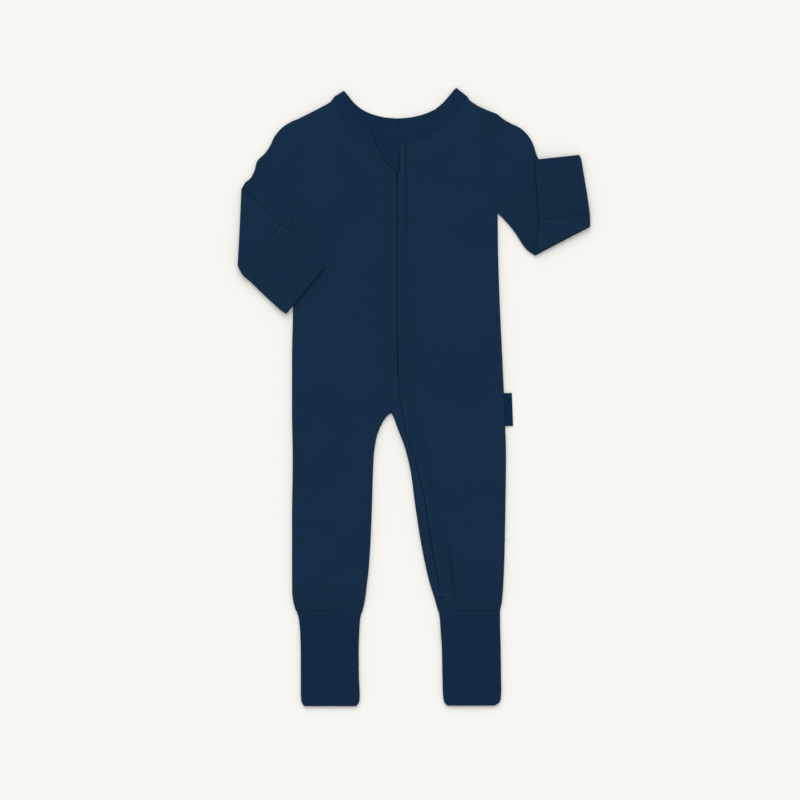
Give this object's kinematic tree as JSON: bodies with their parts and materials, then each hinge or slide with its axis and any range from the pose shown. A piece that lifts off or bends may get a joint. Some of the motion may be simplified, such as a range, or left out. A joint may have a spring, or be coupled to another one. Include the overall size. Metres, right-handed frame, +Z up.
{
  "type": "onesie pajama",
  "caption": "Baby's one-piece zip sleepsuit in plain navy jersey, laid flat on its back with its sleeves folded over and its zip open a little at the neck.",
  "frame": {"origin": "on the table under the middle of the whole garment as it lies", "axes": "+X towards the wearer's left, +Y along the body towards the neck, +Z up from the table, out of the garment's front"},
  "size_m": [0.352, 0.618, 0.0063],
  "materials": {
    "jersey": "fine plain jersey, soft and matt",
    "rib": "fine 1x1 rib knit, matt",
    "zip_tape": "woven tape, matt",
    "slider": "smooth enamel, satin",
    "label": "woven satin tab, blank"
  },
  "bodies": {
    "root": {"back_right": "jersey", "back_left": "jersey", "front_right": "jersey", "front_left": "jersey", "zip_lip_right": "jersey", "zip_lip_left": "jersey", "zip_tape_right": "zip_tape", "zip_tape_left": "zip_tape", "zip_guard": "jersey", "zip_slider": "slider", "zip_pull": "slider", "neckband_right": "rib", "neckband_left": "rib", "sleeve_right": "jersey", "sleeve_left": "jersey", "sleeve_cuff_right": "rib", "sleeve_cuff_left": "rib", "leg_cuff_right": "rib", "leg_cuff_left": "rib", "side_label": "label"}
  },
  "joints": []
}
